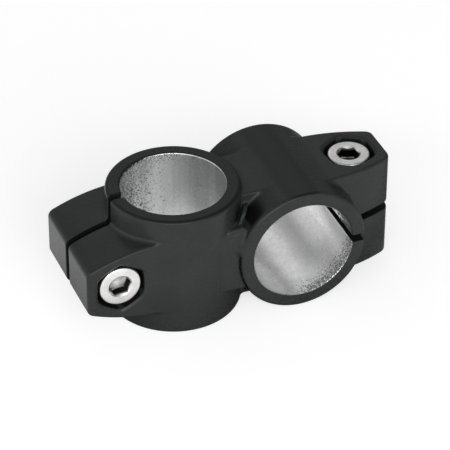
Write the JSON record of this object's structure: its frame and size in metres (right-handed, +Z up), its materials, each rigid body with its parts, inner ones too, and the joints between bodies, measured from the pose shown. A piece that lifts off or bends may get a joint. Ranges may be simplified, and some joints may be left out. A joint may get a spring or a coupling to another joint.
{
  "type": "lean tube joint",
  "caption": "Split clamp connector that joins two round tubes crossing at a right angle, with a clamping screw and nut for each sleeve.",
  "frame": {"origin": "midway between the axes of the two bores, at the centre of the part", "axes": "+X from the upright sleeve to the cross sleeve, +Z up along the upright sleeve's bore, Y along the cross sleeve's bore with -Y towards the front"},
  "size_m": [0.0798, 0.032, 0.032],
  "materials": {
    "coated_casting": "cast aluminium with a black, finely textured powder coat; the bores are bare metal",
    "screw_steel": "bright zinc plated or stainless steel"
  },
  "bodies": {
    "casting": {"clamp_casting": "coated_casting"},
    "upright_screw": {"upright_clamp_screw": "screw_steel"},
    "upright_nut": {"upright_clamp_nut": "screw_steel"},
    "cross_screw": {"cross_clamp_screw": "screw_steel"},
    "cross_nut": {"cross_clamp_nut": "screw_steel"}
  },
  "joints": [
    {"name": "upright_screw_turn", "type": "hinge", "parent": "casting", "child": "upright_screw", "pos_m": [-0.03155, 0, 0], "axis": [0, -1, 0], "range_deg": [0, 720]},
    {"name": "upright_nut_travel", "type": "slide", "parent": "casting", "child": "upright_nut", "axis": [0, 1, 0], "range_m": [0, 0.002]},
    {"name": "cross_screw_turn", "type": "hinge", "parent": "casting", "child": "cross_screw", "pos_m": [0.03155, 0, 0], "axis": [0, 0, 1], "range_deg": [0, 720]},
    {"name": "cross_nut_travel", "type": "slide", "parent": "casting", "child": "cross_nut", "axis": [0, 0, -1], "range_m": [0, 0.002]}
  ],
  "couplings": [
    {"joint": "upright_nut_travel", "follows": "upright_screw_turn", "m_per_rad": 0.00015915},
    {"joint": "cross_nut_travel", "follows": "cross_screw_turn", "m_per_rad": 0.00015915}
  ]
}
